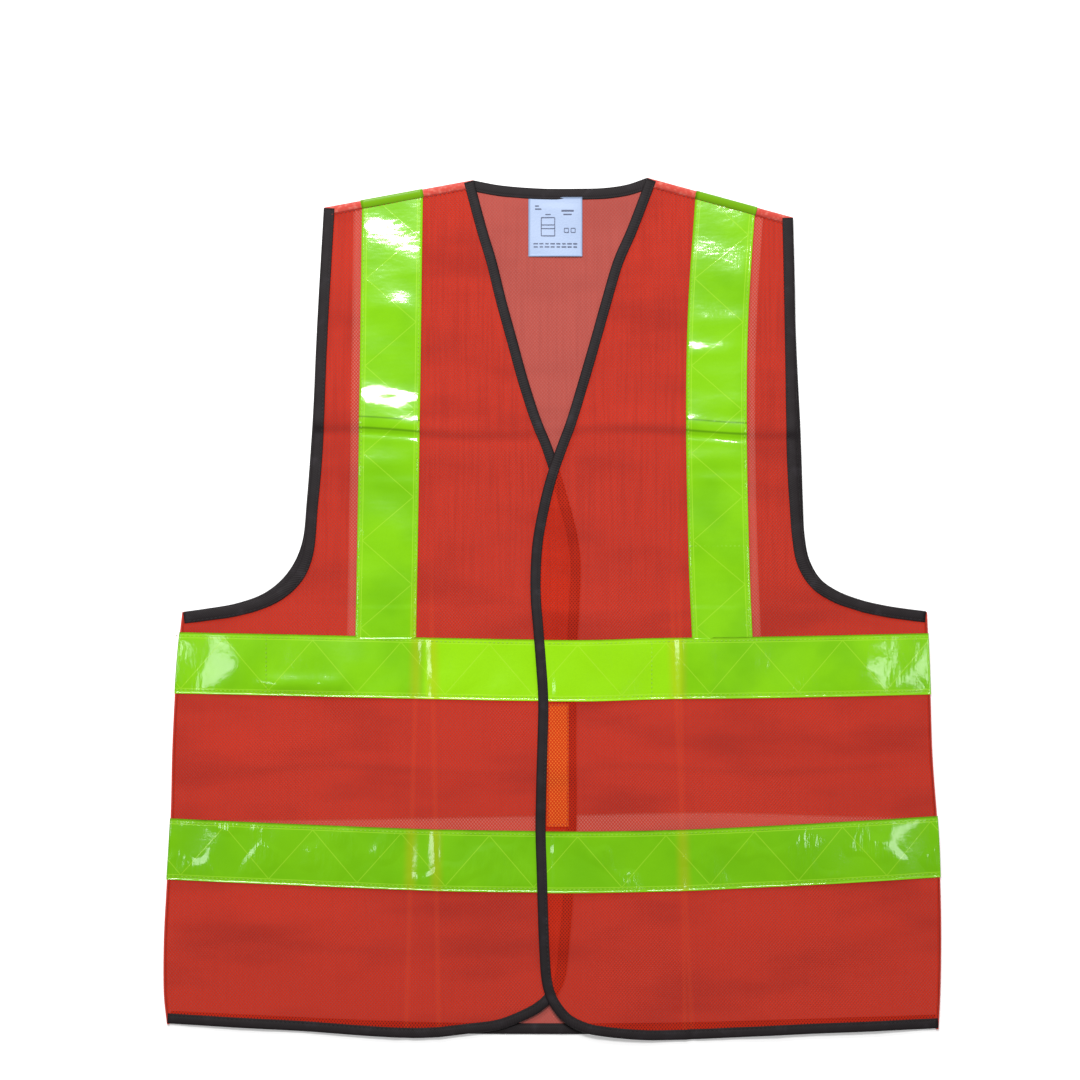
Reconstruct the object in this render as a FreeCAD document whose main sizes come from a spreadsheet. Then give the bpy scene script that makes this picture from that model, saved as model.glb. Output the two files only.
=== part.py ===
import FreeCAD, Part
import math
import os

import Sketcher

os.makedirs("parts", exist_ok=True)

# A sleeveless high visibility vest of knitted mesh, lying flat on its back, in millimetres.
# +X is the wearer's left, +Y runs to the collar, +Z is up, and the origin lies under the middle.
# The back lies at the bottom and the two fronts above it, with the air inside the vest between them.
# Each front is cut along a slanted line from the neck to the hem, where the flap beside the closure
# turns open. The wearer's left flap closes over the right one, held by hook and loop.

document = FreeCAD.newDocument("HighVisibilityVest")
sizes = document.addObject("Spreadsheet::Sheet", "Sizes")

DRIVING_SIZES = {
    # the cut of the garment
    "garment_length": 700,
    "hem_half_width": 317,
    "hem_rise": 9,
    "underarm_half_width": 304,
    "underarm_drop": 354,
    "shoulder_half_width": 192,
    "shoulder_drop": 27,
    "armhole_half_width": 206,
    "armhole_radius": 62,
    "neck_half_width": 75,
    "neckline_drop": 12,
    "neckline_flat_half": 38,
    "neckline_radius": 60,
    # the front closure
    "closure_offset": 5.5,
    "closure_overlap": 31,
    "vee_drop": 280,
    "vee_radius": 180,
    "front_corner_radius": 55,
    "left_turn_at_hem": 112,
    "right_turn_at_hem": 104,
    "turn_gap": 0.3,
    "turn_height": 11.2,
    "lapped_angle": 2.5,
    # cloth, tape and binding
    "mesh_thickness": 0.6,
    "panel_inset": 0.7,
    "binding_width": 10,
    "binding_thickness": 0.5,
    "seam_thickness": 0.6,
    "seam_end_share": 0.1,
    "side_end_share": 0.04,
    "fit_gap": 0.1,
    "clear_gap": 0.3,
    "tape_width": 50,
    "tape_thickness": 0.6,
    "chest_tape_height": 301,
    "waist_tape_height": 145,
    "brace_offset": 135,
    # the layers
    "back_level": 0.7,
    "front_level": 9.3,
    # hook and loop, and the label
    "strip_width": 18,
    "strip_length": 100,
    "strip_thickness": 1.3,
    "strip_height": 223,
    "label_width": 44,
    "label_length": 48,
    "label_thickness": 0.3,
    "label_level": 1.6,
}

for row, (alias, size) in enumerate(DRIVING_SIZES.items(), start=1):
    sizes.set(f"A{row}", str(size))
    sizes.setAlias(f"A{row}", alias)
document.recompute()


def sheet(expression):
    """An expression with every driving size read from the sheet."""
    for alias in sorted(DRIVING_SIZES, key=len, reverse=True):
        expression = expression.replace(f"<{alias}>", f"Sizes.{alias}")
    return expression


def value(expression):
    return float(sizes.evalExpression(sheet(expression)))


def bind(part, **expressions):
    """Bind properties to the sheet; Placement.Base.x is written Placement_Base_x."""
    for name, expression in expressions.items():
        part.setExpression(name.replace("_Base_", ".Base."), sheet(expression))


def between(start, end, share):
    """The point that lies this share of the way from start to end."""
    return tuple(f"({a}) + (({b}) - ({a})) * ({share})" for a, b in zip(start, end))


def path_sketch(name, corners, closed, level):
    """Straight runs through the corners, given as (x, y) or (x, y, radius), at a level in Z."""
    sketch = document.addObject("Sketcher::SketchObject", name)
    points = [FreeCAD.Vector(value(c[0]), value(c[1]), 0) for c in corners]
    radii = [value(c[2]) if len(c) > 2 else 0 for c in corners]
    count = len(corners)
    starts, ends, arcs = [None] * count, [None] * count, {}
    for i, point in enumerate(points):
        starts[i] = ends[i] = point
        if not radii[i]:
            continue
        before = (points[i - 1] - point).normalize()
        after = (points[(i + 1) % count] - point).normalize()
        half = before.getAngle(after) / 2
        reach = radii[i] / math.tan(half)
        ends[i] = point + before * reach
        starts[i] = point + after * reach
        centre = point + (before + after).normalize() * (radii[i] / math.sin(half))
        arcs[i] = (centre, ends[i], starts[i])

    marks = []
    for point, corner in zip(points, corners):
        mark = sketch.addGeometry(Part.Point(point), True)
        across = sketch.addConstraint(Sketcher.Constraint("DistanceX", mark, 1, point.x))
        along = sketch.addConstraint(Sketcher.Constraint("DistanceY", mark, 1, point.y))
        sketch.setExpression(f"Constraints[{across}]", sheet(corner[0]))
        sketch.setExpression(f"Constraints[{along}]", sheet(corner[1]))
        marks.append(mark)

    runs = []
    for i in range(count if closed else count - 1):
        following = (i + 1) % count
        run = sketch.addGeometry(Part.LineSegment(starts[i], ends[following]))
        for corner, end in ((i, 1), (following, 2)):
            if corner in arcs:
                touch = Sketcher.Constraint("PointOnObject", marks[corner], 1, run)
            else:
                touch = Sketcher.Constraint("Coincident", run, end, marks[corner], 1)
            sketch.addConstraint(touch)
        runs.append(run)

    for i, (centre, first, last) in arcs.items():
        circle = Part.Circle(centre, FreeCAD.Vector(0, 0, 1), radii[i])
        turn = (first - centre).cross(last - centre).z
        begin, finish = (first, last) if turn > 0 else (last, first)
        arc = sketch.addGeometry(
            Part.ArcOfCircle(circle, circle.parameter(begin), circle.parameter(finish))
        )
        first_end, last_end = (1, 2) if turn > 0 else (2, 1)
        run_in, run_out = runs[i - 1], runs[i]
        sketch.addConstraint(Sketcher.Constraint("Tangent", run_in, 2, arc, first_end))
        sketch.addConstraint(Sketcher.Constraint("Tangent", arc, last_end, run_out, 1))
        radius = sketch.addConstraint(Sketcher.Constraint("Radius", arc, radii[i]))
        sketch.setExpression(f"Constraints[{radius}]", sheet(corners[i][2]))
    bind(sketch, Placement_Base_z=level)
    document.recompute()
    return sketch


def prism(name, base, above, below="0"):
    """A face or closed outline made solid, from so far below its own level to so far above."""
    solid = document.addObject("Part::Extrusion", name)
    solid.Base = base
    solid.DirMode = "Custom"
    solid.Dir = FreeCAD.Vector(0, 0, 1)
    solid.Solid = True
    bind(solid, LengthFwd=above, LengthRev=below)
    document.recompute()
    return solid


def offset(name, source, distance, filled):
    """A closed outline moved sideways, or an open path widened into a strip when filled."""
    moved = document.addObject("Part::Offset2D", name)
    moved.Source = source
    moved.Join = "Intersection"
    moved.Fill = filled
    bind(moved, Value=distance)
    document.recompute()
    return moved


def combine(kind, name, base, tool):
    result = document.addObject(f"Part::{kind}", name)
    result.Base = base
    result.Tool = tool
    document.recompute()
    return result


def block(name, low, size):
    """A plain block from its low corner."""
    part = document.addObject("Part::Box", name)
    bind(part, Length=size[0], Width=size[1], Height=size[2])
    bind(part, Placement_Base_x=low[0], Placement_Base_y=low[1], Placement_Base_z=low[2])
    document.recompute()
    return part


class Panel:
    """One panel of mesh: its outline, what fills the outline, and the slot its bindings leave for it."""

    def __init__(self, name, corners, level):
        self.name = name
        self.level = level
        self.outline = path_sketch(f"{name}_outline", corners, True, level)
        inset = offset(f"{name}_edge", self.outline, "-<panel_inset>", False)
        lip = offset(f"{name}_lip", self.outline, "<fit_gap> - <panel_inset>", False)
        reach = "<mesh_thickness> + 4 * <tape_thickness>"
        self.mesh = prism(name, inset, "<mesh_thickness>")
        self.inside = prism(f"{name}_inside", inset, reach, reach)
        self.whole = prism(f"{name}_whole", self.outline, reach, reach)
        self.slot = prism(f"{name}_slot", lip, "<mesh_thickness> + <fit_gap>", "<fit_gap>")

    def binding(self, name, corners, side):
        """A folded strip round the edge along these corners; side is the way in from the path."""
        path = path_sketch(f"{name}_path", corners, False, self.level)
        strip = offset(f"{name}_strip", path, f"{side} * <binding_width>", True)
        wrap = "<fit_gap> + <binding_thickness>"
        solid = prism(f"{name}_solid", strip, f"<mesh_thickness> + {wrap}", wrap)
        trimmed = combine("Common", f"{name}_trimmed", solid, self.whole)
        return combine("Cut", name, trimmed, self.slot)

    def tape(self, name, low, size):
        """A block of tape, cut to the panel's edge."""
        return combine("Common", name, block(f"{name}_block", low, size), self.inside)


# ---- points of the cut, seen from above ----
TOP = "<garment_length> / 2"
BOTTOM = "-<garment_length> / 2"


def neck_point(side):
    return f"{side} * <neck_half_width>", TOP


def shoulder_point(side):
    return f"{side} * <shoulder_half_width>", f"{TOP} - <shoulder_drop>"


def armhole_corner(side):
    return f"{side} * <armhole_half_width>", f"{TOP} - <underarm_drop> + 4", "<armhole_radius>"


def underarm_point(side):
    return f"{side} * <underarm_half_width>", f"{TOP} - <underarm_drop>"


def hem_corner(side):
    return f"{side} * <hem_half_width>", f"{BOTTOM} + <hem_rise>"


def turn_at_hem(name, side, outward):
    """Where the turn line meets the hem, moved the turn gap outward or inward."""
    return f"{side} * (<{name}_turn_at_hem> + {outward} * <turn_gap>)", BOTTOM


def turn_at_neck(side, outward):
    return f"{side} * (<neck_half_width> + {outward} * <turn_gap>)", TOP


def vee_corner(side):
    edge = f"<closure_offset> - {side} * <closure_overlap> / 2"
    return edge, f"{TOP} - <vee_drop>", "<vee_radius>"


def front_corner(side):
    return vee_corner(side)[0], BOTTOM, "<front_corner_radius>"


SIDES = {"left": 1, "right": -1}
pieces = {}

# ---- the back ----
neckline = [
    neck_point(-1),
    ("-<neckline_flat_half>", f"{TOP} - <neckline_drop>", "<neckline_radius>"),
    ("<neckline_flat_half>", f"{TOP} - <neckline_drop>", "<neckline_radius>"),
    neck_point(1),
]
back_hem = [
    hem_corner(1),
    ("<left_turn_at_hem>", BOTTOM),
    (f"-<left_turn_at_hem>", BOTTOM),
    hem_corner(-1),
]
back_corners = neckline + [shoulder_point(1), armhole_corner(1), underarm_point(1)]
back_corners += back_hem + [underarm_point(-1), armhole_corner(-1), shoulder_point(-1)]
back = Panel("back_panel", back_corners, "<back_level>")
pieces["back_panel"] = back.mesh
pieces["back_neck_binding"] = back.binding("back_neck_binding", neckline, -1)
pieces["back_hem_binding"] = back.binding("back_hem_binding", back_hem, -1)
for side_name, side in SIDES.items():
    name = f"{side_name}_back_armhole_binding"
    armhole = [shoulder_point(side), armhole_corner(side), underarm_point(side)]
    pieces[name] = back.binding(name, armhole, -side)

tape_levels = {"chest": "<chest_tape_height>", "waist": "<waist_tape_height>"}
for level_name, height in tape_levels.items():
    name = f"{level_name}_tape_back"
    low = ("-<hem_half_width>", f"{BOTTOM} + {height} - <tape_width> / 2", "0")
    size = ("2 * <hem_half_width>", "<tape_width>", "<tape_thickness>")
    pieces[name] = back.tape(name, low, size)

brace_foot = f"{BOTTOM} + <chest_tape_height> + <tape_width> / 2 + <clear_gap>"
brace_size = ("<tape_width>", "<garment_length>", "<tape_thickness>")
for side_name, side in SIDES.items():
    name = f"{side_name}_brace_tape_back"
    low = (f"{side} * <brace_offset> - <tape_width> / 2", brace_foot, "0")
    pieces[name] = back.tape(name, low, brace_size)

# ---- the two fronts, each a side part and the flap beside the closure ----
front_tape_level = "<front_level> + <mesh_thickness> + <fit_gap>"
for side_name, side in SIDES.items():
    side_corners = [
        turn_at_neck(side, 1),
        shoulder_point(side),
        armhole_corner(side),
        underarm_point(side),
        hem_corner(side),
        turn_at_hem(side_name, side, 1),
    ]
    flap_corners = [
        turn_at_neck(side, -1),
        vee_corner(side),
        front_corner(side),
        turn_at_hem(side_name, side, -1),
    ]
    front = Panel(f"{side_name}_front_side_panel", side_corners, "<front_level>")
    flap = Panel(f"{side_name}_front_flap_panel", flap_corners, "<front_level>")
    pieces[front.name] = front.mesh
    pieces[flap.name] = flap.mesh

    name = f"{side_name}_front_armhole_binding"
    pieces[name] = front.binding(name, side_corners[1:4], -side)
    name = f"{side_name}_hem_binding"
    hem_run = side_corners[4:6] + [("0", BOTTOM)]
    pieces[name] = front.binding(name, hem_run, -side)
    flap_edge = [neck_point(side)] + flap_corners[1:]
    name = f"{side_name}_neck_binding_end"
    neck_end = flap_edge[:2] + [(vee_corner(side)[0], "0")]
    pieces[name] = front.binding(name, neck_end, side)
    name = f"{side_name}_flap_edge_binding"
    pieces[name] = flap.binding(name, flap_edge, side)

    for level_name, height in tape_levels.items():
        foot = f"{BOTTOM} + {height} - <tape_width> / 2"
        side_name_of_tape = f"{side_name}_{level_name}_tape_side"
        low = ("0" if side > 0 else "-<hem_half_width>", foot, front_tape_level)
        size = ("<hem_half_width>", "<tape_width>", "<tape_thickness>")
        pieces[side_name_of_tape] = front.tape(side_name_of_tape, low, size)

        flap_name_of_tape = f"{side_name}_{level_name}_tape_flap"
        inner_end = f"{vee_corner(side)[0]} + {side} * (<binding_width> + <clear_gap>)"
        start = inner_end if side > 0 else f"{inner_end} - <hem_half_width>"
        low = (start, foot, front_tape_level)
        pieces[flap_name_of_tape] = flap.tape(flap_name_of_tape, low, size)

    name = f"{side_name}_brace_tape_front"
    low = (f"{side} * <brace_offset> - <tape_width> / 2", brace_foot, front_tape_level)
    pieces[name] = front.tape(name, low, brace_size)

    # the seams that join front and back
    height = "<front_level> - <back_level> + <mesh_thickness>"
    shoulder = (neck_point(side), shoulder_point(side), "<seam_end_share>")
    flank = (underarm_point(side), hem_corner(side), "<side_end_share>")
    seams = {
        "shoulder_seam": (*shoulder, ("0", "-<seam_thickness>")),
        "side_seam": (*flank, (f"{-side} * <seam_thickness>", "0")),
    }
    for seam_name, (start, end, share, shift) in seams.items():
        name = f"{side_name}_{seam_name}"
        run = [between(start, end, share), between(end, start, share)]
        inner = [(f"{x} + {shift[0]}", f"{y} + {shift[1]}") for x, y in reversed(run)]
        outline = path_sketch(f"{name}_outline", run + inner, True, "<back_level>")
        pieces[name] = prism(name, outline, height)

# ---- hook and loop at the closure, and the care label ----
strip_foot = f"{BOTTOM} + <strip_height> - <strip_length> / 2"
strip_size = ("<strip_width>", "<strip_length>", "<strip_thickness>")
beside_binding = "<closure_overlap> / 2 - <binding_width> - <clear_gap>"
pieces["hook_strip"] = block(
    "hook_strip",
    (f"<closure_offset> + {beside_binding} - <strip_width>", strip_foot, front_tape_level),
    strip_size,
)
pieces["loop_strip"] = block(
    "loop_strip",
    (
        f"<closure_offset> - ({beside_binding})",
        strip_foot,
        "<front_level> - <fit_gap> - <strip_thickness>",
    ),
    strip_size,
)
label_top = f"{TOP} - <neckline_drop> - <binding_width> - <clear_gap>"
pieces["care_label"] = block(
    "care_label",
    ("-<label_width> / 2", f"{label_top} - <label_length>", "<label_level>"),
    ("<label_width>", "<label_length>", "<label_thickness>"),
)

# The wearer's left flap lies over the right one, so it rests turned up a little about its turn line.
neck = FreeCAD.Vector(value("<neck_half_width>"), value(TOP), value("<turn_height>"))
hem = FreeCAD.Vector(value("<left_turn_at_hem>"), value(BOTTOM), value("<turn_height>"))
lapped = FreeCAD.Placement(
    FreeCAD.Vector(),
    FreeCAD.Rotation(neck - hem, value("<lapped_angle>")),
    neck,
)
LAPPED_PIECES = [name for name in pieces if name.startswith("left_") and "flap" in name]
for name in LAPPED_PIECES + ["loop_strip"]:
    piece = pieces[name]
    base = piece.Placement
    piece.setExpression("Placement.Base.x", None)
    piece.setExpression("Placement.Base.y", None)
    piece.setExpression("Placement.Base.z", None)
    piece.Placement = lapped.multiply(base)

document.recompute()

for part in document.Objects:
    if "Invalid" in part.State or "Error" in part.State:
        raise RuntimeError(f"{part.Name} did not build: {part.State}")
for name, piece in pieces.items():
    shape = piece.Shape
    if shape.isNull() or not shape.isValid() or shape.Volume <= 0:
        raise RuntimeError(f"{name} has no sound shape")
    piece.Label = name
    shape.exportStep(f"parts/{name}.step")
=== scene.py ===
import math

import bpy
import numpy as np
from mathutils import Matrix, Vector, geometry, kdtree


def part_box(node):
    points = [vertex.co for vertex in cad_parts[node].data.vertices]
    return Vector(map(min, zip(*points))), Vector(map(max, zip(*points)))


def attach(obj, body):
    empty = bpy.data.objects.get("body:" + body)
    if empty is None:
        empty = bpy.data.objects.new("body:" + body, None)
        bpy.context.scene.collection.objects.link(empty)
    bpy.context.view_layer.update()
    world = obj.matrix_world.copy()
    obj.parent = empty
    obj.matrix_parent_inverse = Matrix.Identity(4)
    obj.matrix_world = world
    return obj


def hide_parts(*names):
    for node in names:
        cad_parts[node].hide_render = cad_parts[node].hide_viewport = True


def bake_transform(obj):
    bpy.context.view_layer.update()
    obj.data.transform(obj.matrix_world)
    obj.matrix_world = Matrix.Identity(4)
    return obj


# A high visibility vest laid flat on its back, collar towards +Y. Plan sizes here are in millimetres
# in the row frame, and MM turns them into Blender's metres. Left and right are the wearer's.
# The outlines, puckers, colours and lamps were set to follow the photo from its own view.

MM = 0.001
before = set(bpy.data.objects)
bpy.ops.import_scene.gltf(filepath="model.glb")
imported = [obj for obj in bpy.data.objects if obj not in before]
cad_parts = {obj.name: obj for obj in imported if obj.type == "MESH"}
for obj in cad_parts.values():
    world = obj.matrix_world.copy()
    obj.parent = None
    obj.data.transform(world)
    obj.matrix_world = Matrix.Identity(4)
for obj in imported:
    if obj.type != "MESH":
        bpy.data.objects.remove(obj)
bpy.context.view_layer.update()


def box_mm(node):
    low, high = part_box(node)
    return np.array(low) / MM, np.array(high) / MM


# ---------------------------------------------------------------- the laid outline
# Each edge is a smooth curve through these points of its outer border.
LEFT_FRONT_EDGE = [
    (77, 352), (61, 310), (50.3, 285.5), (40.5, 252.8), (31.3, 220), (21.7, 187), (11.9, 154.6),
    (3.2, 131), (-4, 110), (-9.8, 88), (-15.8, 56), (-17.6, 30), (-17.4, 7), (-15.8, -12),
    (-13.4, -42), (-11.4, -74), (-12, -107), (-13.2, -150), (-13.6, -181), (-12.6, -215),
    (-11.7, -245), (-10.6, -275), (-8.4, -303.5), (-5, -316), (1, -327), (11, -337.5),
    (27, -345), (43, -348), (72, -351), (96, -351.4), (202, -346.5), (315, -342),
]
RIGHT_FRONT_EDGE = [
    (-64.5, 350), (-53.8, 310), (-46.4, 285.5), (-38.3, 252.8), (-29.3, 220), (-20.2, 187),
    (-9.8, 155), (-0.5, 132), (10, 98), (19.5, 62), (22.5, 38), (21.7, 7), (20, -25), (19, -100),
    (19, -181), (16, -240), (13.3, -272), (9.6, -302), (2.5, -316), (-6, -325), (-15, -331),
    (-41, -342), (-68, -346), (-107, -349.5), (-206.5, -344), (-314.5, -338),
]
LEFT_ARMHOLE = [
    (196.2, 319.5), (197, 285), (198.2, 235), (200.3, 187), (202, 154), (203.3, 120), (204.3, 89),
    (205.8, 60), (209.8, 40), (218.8, 24.5), (232, 15), (251.5, 7.4), (270, 3), (286, 0.4), (305, -2),
]
RIGHT_ARMHOLE = [
    (-186.5, 327.5), (-192.5, 220), (-196, 150), (-200.5, 89), (-204, 56), (-210.5, 38.5),
    (-221, 24), (-236, 12.5), (-258, 4.5), (-285, -0.2), (-301.5, -2.5),
]
LEFT_SIDE = [(305.5, -2.5), (308, -60), (310, -120), (315, -190), (317, -255), (316.5, -310), (315, -343)]
RIGHT_SIDE = [
    (-302, -2.5), (-306, -40), (-310, -110), (-311.5, -170), (-315, -230), (-317, -270),
    (-317, -315), (-314.5, -339),
]
NECKLINE = [(-64.5, 350), (-43, 346), (-10, 343.4), (20, 343.2), (42, 343.8), (61, 346.6), (77, 352)]
BACK_HEM = [(-312, -337), (-106, -346), (0, -347), (96, -346.5), (313, -340)]
TAPE_MIDDLES = {
    "chest": [
        (-330, -43.4), (-223, -45.4), (-76, -48.7), (25, -50), (88, -48.5), (186, -47.2), (330, -44.2),
    ],
    "waist": [
        (-330, -195), (-223, -199.6), (-108, -204.2), (-20, -205.9), (88, -205.3), (186, -201.2),
        (330, -193),
    ],
}
BACK_WAIST_MIDDLE = [(-330, -197), (-200, -196.5), (0, -193), (130, -190.5), (240, -193.5), (330, -196)]

FRONT_EDGES = {"left": LEFT_FRONT_EDGE, "right": RIGHT_FRONT_EDGE}
ARMHOLES = {"left": LEFT_ARMHOLE, "right": RIGHT_ARMHOLE}
FLANKS = {"left": LEFT_SIDE, "right": RIGHT_SIDE}
SIGNS = {"left": 1, "right": -1}


def smooth(t):
    t = np.clip(t, 0, 1)
    return t * t * (3 - 2 * t)


SAMPLES_PER_SPAN = 24


def curve(points, step):
    """A smooth curve through the points, sampled every step millimetres: a centripetal Catmull-Rom
    spline, worked out in two rounds of blending between neighbours."""
    p = np.array(points, float)
    p = np.vstack([2 * p[0] - p[1], p, 2 * p[-1] - p[-2]])
    fine = []
    for before, start, end, after in zip(p, p[1:], p[2:], p[3:]):
        knots = np.cumsum([0] + [math.sqrt(np.linalg.norm(b - a)) for a, b in
                                 ((before, start), (start, end), (end, after))])
        t = np.linspace(knots[1], knots[2], SAMPLES_PER_SPAN, endpoint=False)[:, None]
        first = [((knots[i + 1] - t) * q + (t - knots[i]) * r) / (knots[i + 1] - knots[i])
                 for i, (q, r) in enumerate(((before, start), (start, end), (end, after)))]
        second = [((knots[i + 2] - t) * first[i] + (t - knots[i]) * first[i + 1])
                  / (knots[i + 2] - knots[i]) for i in range(2)]
        fine.append(((knots[2] - t) * second[0] + (t - knots[1]) * second[1])
                    / (knots[2] - knots[1]))
    return resample(np.vstack(fine + [p[-2:-1]]), step)


def resample(line, step):
    along = np.concatenate([[0], np.cumsum(np.linalg.norm(np.diff(line, axis=0), axis=1))])
    places = np.linspace(0, along[-1], max(2, int(round(along[-1] / step)) + 1))
    return np.stack([np.interp(places, along, line[:, i]) for i in range(line.shape[1])], axis=1)


def across(line):
    """The unit normal of a plan curve at each point, to the left of its run."""
    run = np.gradient(line, axis=0)
    run /= np.linalg.norm(run, axis=1)[:, None]
    return np.stack([-run[:, 1], run[:, 0]], axis=1)


EDGE_STEP = 3
front_edges = {side: curve(points, EDGE_STEP) for side, points in FRONT_EDGES.items()}
armholes = {side: curve(points, EDGE_STEP) for side, points in ARMHOLES.items()}
flanks = {side: curve(points, EDGE_STEP) for side, points in FLANKS.items()}
neckline = curve(NECKLINE, EDGE_STEP)
back_hem = curve(BACK_HEM, EDGE_STEP)


# ---------------------------------------------------------------- how high the cloth lies
def ripple(x, y, seed):
    """Gentle wandering undulation between about -1 and 1."""
    waves = ((310, 120, 0.9), (170, 210, 0.7), (95, 260, 0.45), (420, 75, 0.55), (60, 95, 0.3))
    total = np.zeros(np.shape(x))
    for i, (long_x, long_y, size) in enumerate(waves):
        turn = seed * 1.7 + i * 2.3
        bend = 0.8 * np.sin(2 * math.pi * x / (long_y * 1.9) + turn * 1.3)
        total = total + size * np.sin(2 * math.pi * (x / long_x + y / long_y) + turn + bend)
    return total / 1.9


# Where the vest was folded in its bag: across at these heights, and down at x from top to bottom.
FOLDS_ACROSS = ((150, 2.1, 8.5), (-128, 0.6, 5.0))
FOLDS_DOWN = {"right": ((-98, -93), (-111, -119)), "left": ((104, 108), (99, 113))}

# Places where the cloth has puckered up, set to follow the photo's wrinkles and the places where its
# tape catches the light: (x, y, reach along x, reach along y, height).
PUCKERS = {
    "right": (
        (-135, 309, 20, 10, 0.6), (-134, 246, 22, 9, 0.8), (-133, 166, 34, 12, 1.9),
        (-140, 119, 30, 8, 1.1), (-132, 103, 22, 5, 0.6), (-137, 60, 30, 22, 0.5),
        (-205, -61, 34, 7.5, 2.2), (-160, -44, 30, 14, 0.6), (-262, -50, 24, 20, 0.5),
        (-250, -118, 80, 14, 1.5), (-60, -110, 60, 18, 0.9), (-240, -256, 90, 14, 1.4),
        (-70, -262, 60, 20, 0.8), (-60, 128, 60, 11, 1.3), (-70, 60, 40, 40, 0.6),
    ),
    "left": (
        (150, 312, 16, 8, 0.5), (140, 236, 26, 8, 0.8), (128, 210, 24, 7, 0.8),
        (136, 165, 34, 11, 1.6), (133, 122, 34, 8, 1.1), (140, 106, 26, 5, 0.7),
        (134, 70, 30, 16, 0.5), (60, 150, 60, 12, 1.2), (80, 40, 36, 40, 0.6),
        (240, -110, 80, 16, 1.2), (70, -120, 50, 16, 0.8),
        (220, -262, 80, 16, 1.3), (80, -270, 50, 24, 0.8), (250, -50, 40, 16, 0.5),
    ),
}


def down_fold_distance(x, y, side, number):
    top, bottom = FOLDS_DOWN[side][number]
    return x - (top + (bottom - top) * (-30 - y) / 300)


def creases(x, y, side):
    """Ridges along the packing folds and puckers beside them, in millimetres."""
    found = np.zeros(np.shape(x))
    for level, high, reach in FOLDS_ACROSS:
        wander = level + 3 * np.sin(x / 37.0)
        fade = 0.35 + 0.65 * smooth((np.abs(x) - 20) / 60)
        found = found + high * fade * np.exp(-(((y - wander) / reach) ** 2))
        found = found - 0.6 * high * fade * np.exp(-(((y - wander + reach) / 2.5) ** 2))
    lower = smooth((90 - y) / 120)
    for number, high in ((0, 0.9), (1, -0.7)):
        found = found + high * lower * np.exp(-((down_fold_distance(x, y, side, number) / 3.5) ** 2))
    for px, py, wide, tall, high in PUCKERS[side]:
        found = found + high * np.exp(-(((x - px) / wide) ** 4) - (((y - py) / tall) ** 2))
    return found


def back_height(x, y):
    return 1.5 + 0.25 * ripple(x, y, 3)


def edge_share(x, y):
    """0 at the side seams and shoulders, where front and back are sewn together, 1 in the open."""
    flank = 317 - np.abs(x) - 0.03 * np.clip(y + 350, 0, 350)
    shoulder = 352 - 0.22 * np.clip(np.abs(x) - 78, 0, 200) - y
    low = np.where(y < 2, flank, 40)
    return smooth(np.minimum(low / 55, shoulder / 95))


SEWN_HEIGHT = 3.1
OPEN_HEIGHT = 5.0
LAP_RISE = 3.4


def front_height(x, y, side):
    open_cloth = OPEN_HEIGHT + ripple(x, y, 1 if side == "left" else 5) + creases(x, y, side)
    height = SEWN_HEIGHT + (open_cloth - SEWN_HEIGHT) * edge_share(x, y)
    if side == "right":
        return height
    over_right = smooth((90 - x) / 68) * smooth((175 - y) / 60)
    return height + LAP_RISE * over_right


HEIGHTS = {
    "back": back_height,
    "left": lambda x, y: front_height(x, y, "left"),
    "right": lambda x, y: front_height(x, y, "right"),
}


# ---------------------------------------------------------------- building meshes
def new_mesh(name, points, faces, material, place, tape=None):
    """A mesh from points in millimetres, with its garment place and tape place kept as UV maps."""
    mesh = bpy.data.meshes.new(name)
    mesh.from_pydata((np.asarray(points) * MM).tolist(), [], faces)
    loops = np.zeros(len(mesh.loops), np.int32)
    mesh.loops.foreach_get("vertex_index", loops)
    for layer, where in (("place", place), ("tape", tape)):
        if where is not None:
            uv = mesh.uv_layers.new(name=layer)
            uv.data.foreach_set("uv", np.asarray(where, np.float32)[loops].ravel())
    mesh.materials.append(material)
    mesh.shade_smooth()
    piece = bpy.data.objects.new(name, mesh)
    bpy.context.scene.collection.objects.link(piece)
    return piece


def inside(points, outline):
    """Which points lie inside a closed outline."""
    x, y = points[:, 0], points[:, 1]
    found = np.zeros(len(points), bool)
    for (x1, y1), (x2, y2) in zip(outline, np.roll(outline, -1, axis=0)):
        if y1 != y2:
            crosses = (y1 > y) != (y2 > y)
            found ^= crosses & (x < (x2 - x1) * (y - y1) / (y2 - y1) + x1)
    return found


def panel(name, outline, height, material, spacing=3.2):
    """One layer of mesh cloth cut to the outline and laid at the height."""
    low, high = outline.min(0), outline.max(0)
    row_gap = spacing * 0.866
    grid_rows = []
    for i, y in enumerate(np.arange(low[1], high[1], row_gap)):
        x = np.arange(low[0] + (i % 2) * spacing / 2, high[0], spacing)
        grid_rows.append(np.column_stack([x, np.full_like(x, y)]))
    grid = np.concatenate(grid_rows)
    grid = grid[inside(grid, outline)]
    border = kdtree.KDTree(len(outline))
    for i, (x, y) in enumerate(outline):
        border.insert((x, y, 0), i)
    border.balance()
    grid = [p for p in grid if border.find((p[0], p[1], 0))[2] > spacing * 0.55]
    flat = [Vector(p) for p in outline] + [Vector(p) for p in grid]
    ring = [list(range(len(outline)))]
    verts, _, faces, *_ = geometry.delaunay_2d_cdt(flat, [], ring, 1, 1e-6)
    plan = np.array([tuple(v) for v in verts])
    points = np.column_stack([plan, height(plan[:, 0], plan[:, 1])])
    upward = []
    for face in faces:
        a, b, c = (plan[i] for i in face[:3])
        turn = (b[0] - a[0]) * (c[1] - a[1]) - (b[1] - a[1]) * (c[0] - a[0])
        upward.append(list(face) if turn > 0 else list(face)[::-1])
    return new_mesh(name, points, upward, material, plan * MM)


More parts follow.
